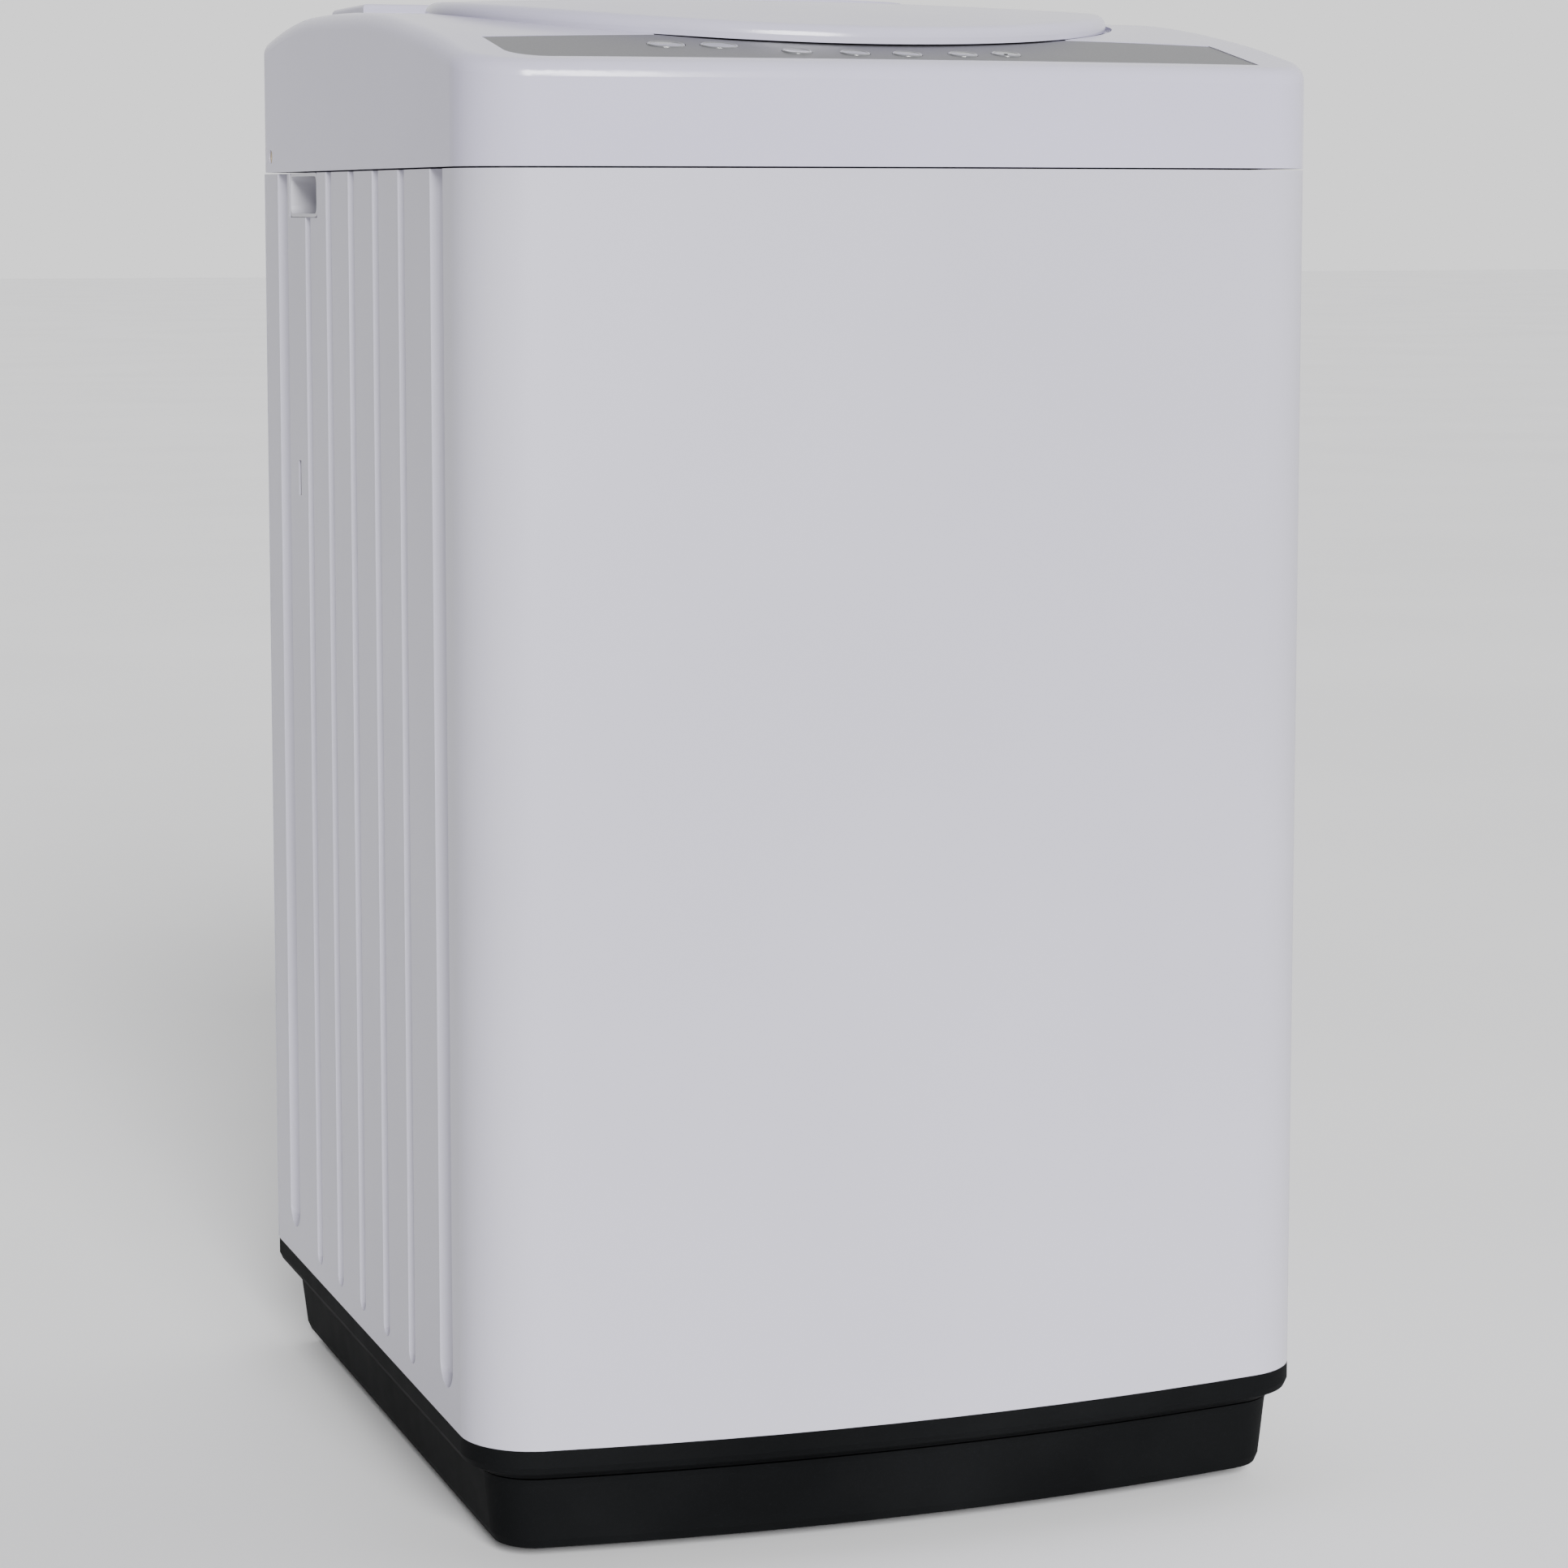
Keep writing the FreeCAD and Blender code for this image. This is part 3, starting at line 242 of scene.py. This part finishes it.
plainFinishes = {  # the rest of the machine: real material, its colour drift, gloss and grain
    "turnedSteel": {"colour": "A5A6A7", "drift": "989A9B", "roughness": 0.28, "metallic": 1.0,
                    "grainMm": 0.5, "depthMm": 0.01},
    "yellowZincSteel": {"colour": "C2AA66", "drift": "A99A6E", "roughness": 0.33, "metallic": 1.0,
                        "grainMm": 1.5, "depthMm": 0.01},
    "oiledSpringWire": {"colour": "6E7073", "drift": "55575A", "roughness": 0.35, "metallic": 1.0,
                        "grainMm": 2.0, "depthMm": 0.02},
    "blastedAluminium": {"colour": "A8A9AB", "drift": "9C9D9F", "roughness": 0.5, "metallic": 1.0,
                         "grainMm": 0.8, "depthMm": 0.05},
    "paintedCastIron": {"colour": "3A3B3D", "drift": "2F3032", "roughness": 0.55, "ior": 1.5,
                        "grainMm": 2.5, "depthMm": 0.12},
    "motorEnamel": {"colour": "2B2D30", "drift": "242628", "roughness": 0.36, "ior": 1.5,
                    "grainMm": 3.0, "depthMm": 0.03},
    "mouldedPolypropylene": {"colour": "A9ABAC", "drift": "A1A3A5", "roughness": 0.45, "ior": 1.49,
                             "grainMm": 1.5, "depthMm": 0.03},
    "blueGreyPolypropylene": {"colour": "9FA9B4", "drift": "97A1AD", "roughness": 0.26, "ior": 1.49,
                              "grainMm": 8.0, "depthMm": 0.03},
    "whiteNylon": {"colour": "D8D6CE", "drift": "CFCDC4", "roughness": 0.4, "ior": 1.53,
                   "grainMm": 2.0, "depthMm": 0.02},
    "blackNylon": {"colour": "1E1F21", "drift": "27282A", "roughness": 0.45, "ior": 1.53,
                   "grainMm": 1.0, "depthMm": 0.03},
    "greenLacquer": {"colour": "1F5A38", "drift": "1A4C30", "roughness": 0.3, "ior": 1.55,
                     "grainMm": 3.0, "depthMm": 0.02},
    "beltRubber": {"colour": "161616", "drift": "202020", "roughness": 0.7, "ior": 1.52,
                   "grainMm": 0.7, "depthMm": 0.08},
    "footRubber": {"colour": "1B1B1C", "drift": "252526", "roughness": 0.75, "ior": 1.52,
                   "grainMm": 1.2, "depthMm": 0.08},
    "hoseRubber": {"colour": "55585B", "drift": "4B4E51", "roughness": 0.55, "ior": 1.52,
                   "grainMm": 1.0, "depthMm": 0.05},
    "filterMesh": {"colour": "8F9BA8", "drift": "D4DAE0", "roughness": 0.5, "ior": 1.5,
                   "grainMm": 1.2, "depthMm": 0.2},
}


def plainFinish(name):  # colour that drifts a little, uneven gloss and a grain of its real size
    look = plainFinishes[name]
    material, tree, shader = startMaterial(name, look)
    varyColour(tree, shader, spotNoise(tree, look["grainMm"] * 12), look["drift"], look["colour"])
    varyRoughness(tree, shader, spotNoise(tree, look["grainMm"] * 6),
                  look["roughness"] - 0.05, look["roughness"] + 0.07)
    addBump(tree, shader, spotNoise(tree, look["grainMm"]).outputs["Fac"], look["depthMm"])
    return material


finishes = {"powderCoatedSteel": powderCoatedSteel(), "glossMouldedAbs": glossMouldedAbs(),
            "satinMouldedAbs": satinMouldedAbs(), "grainedPolypropylene": grainedPolypropylene(),
            "silverPrintedFilm": silverPrintedFilm(), "frostedPolycarbonate": frostedPolycarbonate(),
            "zincCoatedSteel": zincCoatedSteel(), "rolledStainless": rolledStainless()}
for finishName in plainFinishes:
    finishes[finishName] = plainFinish(finishName)

slotFinish = {"white_paint": "powderCoatedSteel", "white_abs": "glossMouldedAbs",
              "black_base": "grainedPolypropylene", "panel_grey": "silverPrintedFilm",
              "button_pale": "frostedPolycarbonate", "grip_white": "satinMouldedAbs",
              "galvanised": "zincCoatedSteel", "zinc_yellow": "yellowZincSteel",
              "spring_steel": "oiledSpringWire", "stainless": "rolledStainless",
              "tub_grey": "mouldedPolypropylene", "hub_alloy": "blastedAluminium",
              "blue_grey": "blueGreyPolypropylene", "filter_mesh": "filterMesh",
              "shaft_steel": "turnedSteel", "gear_iron": "paintedCastIron", "belt_rubber": "beltRubber",
              "motor_steel": "motorEnamel", "dark_plastic": "blackNylon", "board_green": "greenLacquer",
              "valve_white": "whiteNylon", "hose_grey": "hoseRubber", "foot_rubber": "footRubber"}
for part in frame["record"]["subparts"]:
    node = cadNodes[part["node"]]
    node.data.materials.clear()
    node.data.materials.append(finishes[slotFinish[part["material_slot"]]])
print("finishes on every carried-over node")


def addPiece(name, mesh, finish, sharpAngle=35):  # a finished bmesh becomes a piece
    data = bpy.data.meshes.new(name)
    bmesh.ops.recalc_face_normals(mesh, faces=mesh.faces)
    mesh.to_mesh(data)
    mesh.free()
    data.shade_smooth()
    data.set_sharp_from_angle(angle=math.radians(sharpAngle))
    data.materials.append(finishes[finish])
    piece = bpy.data.objects.new(name, data)
    bpy.context.scene.collection.objects.link(piece)
    return piece


def turnOutline(mesh, outline, steps):  # spins (radius, height) points about Z, rims left open
    rings = []
    for radius, height in outline:
        count = 1 if radius < 1e-6 else steps
        rings.append([mesh.verts.new((radius * math.cos(math.tau * i / steps),
                                      radius * math.sin(math.tau * i / steps), height))
                      for i in range(count)])
    for lower, upper in zip(rings, rings[1:]):
        for i in range(steps):
            corners = [lower[i % len(lower)], lower[(i + 1) % len(lower)],
                       upper[(i + 1) % len(upper)], upper[i % len(upper)]]
            corners = list(dict.fromkeys(corners))
            if len(corners) > 2:
                mesh.faces.new(corners)


def sweepTube(mesh, path, radii, sides):  # a round tube along a path, one radius per point, capped
    rings = []
    side = None
    for i, point in enumerate(path):
        ahead = (path[min(i + 1, len(path) - 1)] - path[max(i - 1, 0)]).normalized()
        if side is None:
            side = ahead.orthogonal().normalized()
        side = (side - ahead * side.dot(ahead)).normalized()
        up = ahead.cross(side)
        rings.append([mesh.verts.new(point + radii[i] * (side * math.cos(math.tau * k / sides)
                                                         + up * math.sin(math.tau * k / sides)))
                      for k in range(sides)])
    for first, second in zip(rings, rings[1:]):
        for k in range(sides):
            mesh.faces.new([first[k], first[(k + 1) % sides], second[(k + 1) % sides], second[k]])
    mesh.faces.new(rings[0][::-1])
    mesh.faces.new(rings[-1])


drumLook = {"radius": 0.195, "floorRadius": 0.152, "low": 0.274, "high": 0.665,
            "beads": (0.36, 0.46, 0.56), "beadReach": 0.006, "beadHeight": 0.002, "holeRadius": 0.0021,
            "columns": 56, "rowHeight": 0.021, "firstRow": 0.008, "plainRim": 0.022, "thickness": 0.001,
            "mergeReach": 0.00005}


def drumBands():  # (low, high, with holes) strips of the drum's wall from the bottom up
    look = drumLook
    bands = []
    level = look["low"] + look["firstRow"]
    for bead in look["beads"] + (look["high"] + look["beadReach"] - look["plainRim"],):
        top = bead - look["beadReach"]
        rows = max(1, round((top - level) / look["rowHeight"]))
        for i in range(rows):
            bands.append((level + (top - level) * i / rows, level + (top - level) * (i + 1) / rows, True))
        level = bead + look["beadReach"]
        if bead in look["beads"]:
            bands.append((top, bead, False))
            bands.append((bead, level, False))
    return bands


def buildDrum():  # rolled sheet with real round holes, three beads and a turned-in floor edge
    look = drumLook
    mesh = bmesh.new()

    def wallPoint(turn, height):
        swell = max(max(0.0, 1 - abs(height - bead) / look["beadReach"]) for bead in look["beads"])
        radius = look["radius"] + look["beadHeight"] * swell
        angle = math.tau * turn / look["columns"]
        return mesh.verts.new((radius * math.cos(angle), radius * math.sin(angle), height))

    bands = drumBands()
    for low, high, holed in bands:
        middle = (low + high) / 2
        for column in range(look["columns"]):
            ring = [(column, low), (column + 0.5, low), (column + 1, low), (column + 1, middle),
                    (column + 1, high), (column + 0.5, high), (column, high), (column, middle)]
            edge = [wallPoint(turn, height) for turn, height in ring]
            if not holed:
                mesh.faces.new(edge)
                continue
            reach = look["holeRadius"] / (math.tau * look["radius"] / look["columns"])
            hole = []
            for k in range(8):
                angle = math.radians(225 + 45 * k)
                hole.append(wallPoint(column + 0.5 + reach * math.cos(angle),
                                      middle + look["holeRadius"] * math.sin(angle)))
            for k in range(8):
                mesh.faces.new([edge[k], edge[(k + 1) % 8], hole[(k + 1) % 8], hole[k]])
    steps = look["columns"] * 2
    wallLow = bands[0][0]
    wallHigh = bands[-1][1]
    turnOutline(mesh, [(look["floorRadius"], look["low"]), (look["radius"] - 0.004, look["low"]),
                       (look["radius"] - 0.001, look["low"] + 0.002), (look["radius"], look["low"] + 0.005),
                       (look["radius"], wallLow)], steps)
    turnOutline(mesh, [(look["radius"], wallHigh), (look["radius"], look["high"])], steps)
    bmesh.ops.remove_doubles(mesh, verts=mesh.verts, dist=look["mergeReach"])
    drum = addPiece("spinDrum", mesh, "rolledStainless", 50)
    low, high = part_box("basket")
    drum.location = ((low[0] + high[0]) / 2, (low[1] + high[1]) / 2, 0)
    sheet = drum.modifiers.new("sheetThickness", "SOLIDIFY")
    sheet.thickness = look["thickness"]
    sheet.offset = -1.0
    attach(drum, "spin_basket")
    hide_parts("basket")


springLook = {"turns": 8.0, "wireRadius": 0.0019, "closedTurns": 0.75, "stepsPerTurn": 28, "sides": 10}


def buildSprings():  # wound wire whose end coils lie flat on the washers
    look = springLook
    for corner in ("front_left", "rear_left", "front_right", "rear_right"):
        low, high = [Vector(v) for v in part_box("spring_" + corner)]
        wire = look["wireRadius"]
        coil = (high.x - low.x) / 2 - wire
        reach = (low.x + high.x) / 2
        depth = (low.y + high.y) / 2
        total = int(look["turns"] * look["stepsPerTurn"])
        path = []
        for i in range(total + 1):
            turn = i / look["stepsPerTurn"]
            share = min(max((turn - look["closedTurns"]) / (look["turns"] - 2 * look["closedTurns"]), 0), 1)
            height = low.z + wire + (high.z - low.z - 2 * wire) * share
            angle = math.tau * turn
            path.append(Vector((reach + coil * math.cos(angle), depth + coil * math.sin(angle), height)))
        mesh = bmesh.new()
        sweepTube(mesh, path, [wire] * len(path), look["sides"])
        spring = addPiece("coilSpring_" + corner, mesh, "oiledSpringWire")
        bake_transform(spring)
        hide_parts("spring_" + corner)


hoseLook = {"knots": ((-0.112, 0.066, 0.213), (-0.112, 0.066, 0.150), (-0.113, 0.070, 0.095),
                      (-0.118, 0.083, 0.062), (-0.130, 0.112, 0.041), (-0.143, 0.150, 0.032),
                      (-0.150, 0.195, 0.031), (-0.150, 0.2439, 0.031)),
            "radius": 0.0133, "ribPitch": 0.0055, "ribDepth": 0.0014, "cuff": 0.012, "sides": 28}


def buildHose():  # extruded and corrugated: rings that let it bend, plain cuffs at both ends
    look = hoseLook
    knots = [Vector(k) for k in look["knots"]]
    path = []
    for i in range(len(knots) - 1):
        before = knots[max(i - 1, 0)]
        after = knots[min(i + 2, len(knots) - 1)]
        for k in range(24):
            t = k / 24
            path.append(0.5 * (2 * knots[i] + (knots[i + 1] - before) * t
                               + (2 * before - 5 * knots[i] + 4 * knots[i + 1] - after) * t * t
                               + (3 * knots[i] - before - 3 * knots[i + 1] + after) * t ** 3))
    path.append(knots[-1])
    run = [0.0]
    for first, second in zip(path, path[1:]):
        run.append(run[-1] + (second - first).length)
    steps = int(run[-1] / (look["ribPitch"] / 6))
    even = []
    radii = []
    place = 0
    for i in range(steps + 1):
        along = run[-1] * i / steps
        while place < len(run) - 2 and run[place + 1] < along:
            place += 1
        share = (along - run[place]) / (run[place + 1] - run[place])
        even.append(path[place].lerp(path[place + 1], min(max(share, 0), 1)))
        inCuff = along < look["cuff"] or along > run[-1] - look["cuff"]
        wave = 0.5 + 0.5 * math.cos(math.tau * along / look["ribPitch"])
        radii.append(look["radius"] - (0 if inCuff else look["ribDepth"] * wave))
    mesh = bmesh.new()
    sweepTube(mesh, even, radii, look["sides"])
    hose = addPiece("drainHose", mesh, "hoseRubber")
    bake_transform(hose)
    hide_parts("drain_hose")


keyLook = {"rimWidth": 0.0016, "edgeRound": 0.0008, "dish": 0.0005, "lamp": 0.0011,
           "lampHeight": 0.0003, "steps": 64, "lampSteps": 24}


def buildKeys():  # clear key caps with a rounded raised rim round a slightly dished face
    look = keyLook
    for number in range(1, 8):
        name = "button_" + str(number)
        low, high = [Vector(v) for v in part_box(name)]
        press = Vector([j for j in frame["joints"] if j["child"] == name][0]["axis"]).normalized()
        tilt = math.atan2(press.y, -press.z)
        halfX = (high.x - low.x) / 2
        deep = (high.z - low.z) - 2 * halfX * math.sin(tilt)
        top = deep / math.cos(tilt) / 2
        halfY = ((high.y - low.y) - 2 * top * math.sin(tilt)) / 2 / math.cos(tilt)
        rim = look["rimWidth"]
        shoulder = top - look["edgeRound"]
        outline = [(1.0, -top), (1.0, shoulder)]
        outline += [(1 - rim / halfX * (0.5 - 0.5 * math.cos(a)), shoulder + look["edgeRound"] * math.sin(a))
                    for a in [math.radians(d) for d in (30, 60, 90, 120, 150)]]
        outline += [(1 - 1.6 * rim / halfX, top - look["dish"] * 0.8), (0.5, top - look["dish"] * 1.3),
                    (0.0, top - look["dish"] * 1.5)]
        mesh = bmesh.new()
        turnOutline(mesh, outline, look["steps"])
        for vertex in mesh.verts:
            vertex.co.x *= halfX
            vertex.co.y *= halfY
        rims = [e for e in mesh.edges if e.is_boundary]
        bmesh.ops.contextual_create(mesh, geom=rims)
        cap = addPiece("keyCap_" + str(number), mesh, "frostedPolycarbonate", 40)
        cap.rotation_euler = (tilt, 0, 0)
        cap.location = (low + high) / 2
        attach(cap, name)
        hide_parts(name)
    disc = bmesh.new()  # a small dark window in the last key, where its lamp shines through
    turnOutline(disc, [(look["lamp"], 0), (look["lamp"], look["lampHeight"]), (0.0, look["lampHeight"])],
                look["lampSteps"])
    lamp = addPiece("keyLamp", disc, "blackNylon", 40)
    lamp.rotation_euler = (tilt, 0, 0)
    lift = Vector((0, 0, top - look["dish"] * 1.5))
    lamp.location = (low + high) / 2 + lamp.rotation_euler.to_matrix() @ lift
    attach(lamp, name)


buildDrum()
buildSprings()
buildHose()
buildKeys()
print("drum, springs, hose and key caps built")


studio = {"colour": "EBEBED", "dark": "F2F2F3", "pale": "F6F6F7", "roughness": 0.9, "driftMm": 400,
          "floorSize": 80.0, "sunStrength": 5.7, "sunFrom": (-0.13, -1.0, 0.46), "sunAngle": 26.0,
          "worldHex": "FFFFFF", "roomStrength": 0.10, "backdropStrength": 1.30,
          "backdropWay": (0.75, 0.66, 0.0), "backdropEdges": (-0.35, 0.8)}


def buildStudio():
    look = studio
    floor = bpy.data.meshes.new("paleFloor")
    half = look["floorSize"] / 2
    floor.from_pydata([(-half, -half, 0), (half, -half, 0), (half, half, 0), (-half, half, 0)], [],
                      [(0, 1, 2, 3)])
    floorObject = bpy.data.objects.new("paleFloor", floor)
    bpy.context.scene.collection.objects.link(floorObject)
    material, tree, shader = startMaterial("paleStudioFloor", look)
    varyColour(tree, shader, spotNoise(tree, look["driftMm"]), look["dark"], look["pale"])
    floor.materials.append(material)
    world = bpy.data.worlds.new("studioWorld")
    bpy.context.scene.world = world
    world.use_nodes = True
    tree = world.node_tree
    background = tree.nodes["Background"]
    background.inputs["Color"].default_value = linear(look["worldHex"])
    where = addNode(tree, "ShaderNodeTexCoord")
    facing = addNode(tree, "ShaderNodeVectorMath", {"operation": "DOT_PRODUCT", 1: look["backdropWay"]},
                     {0: where.outputs["Generated"]})
    glow = addNode(tree, "ShaderNodeMapRange",  # a lit backdrop on one side, a dimmer room on the others
                   {"interpolation_type": "SMOOTHSTEP", "From Min": look["backdropEdges"][0],
                    "From Max": look["backdropEdges"][1],
                    "To Min": look["roomStrength"], "To Max": look["backdropStrength"]},
                   {"Value": facing.outputs["Value"]})
    tree.links.new(glow.outputs["Result"], background.inputs["Strength"])
    sun = bpy.data.lights.new("keySun", "SUN")  # a far, wide soft source in front, a little to the left
    sun.energy = look["sunStrength"]
    sun.angle = math.radians(look["sunAngle"])
    holder = bpy.data.objects.new("keySun", sun)
    holder.rotation_euler = Vector(look["sunFrom"]).to_track_quat("Z", "Y").to_euler()
    bpy.context.scene.collection.objects.link(holder)


cameraLook = {"lens": 92.67, "sensor": 36.0, "shiftUp": -0.10, "place": (-0.83246, -2.37037, 0.76390),
              "downTilt": 5.971, "turn": -19.607}


def buildCamera():
    look = cameraLook
    camera = bpy.data.cameras.new("mainCamera")
    camera.lens = look["lens"]
    camera.sensor_width = look["sensor"]
    camera.shift_y = look["shiftUp"]
    holder = bpy.data.objects.new("mainCamera", camera)
    holder.location = look["place"]
    holder.rotation_euler = (math.radians(90 - look["downTilt"]), 0, math.radians(look["turn"]))
    bpy.context.scene.collection.objects.link(holder)
    bpy.context.scene.camera = holder


buildStudio()
buildCamera()
print("studio and camera ready")
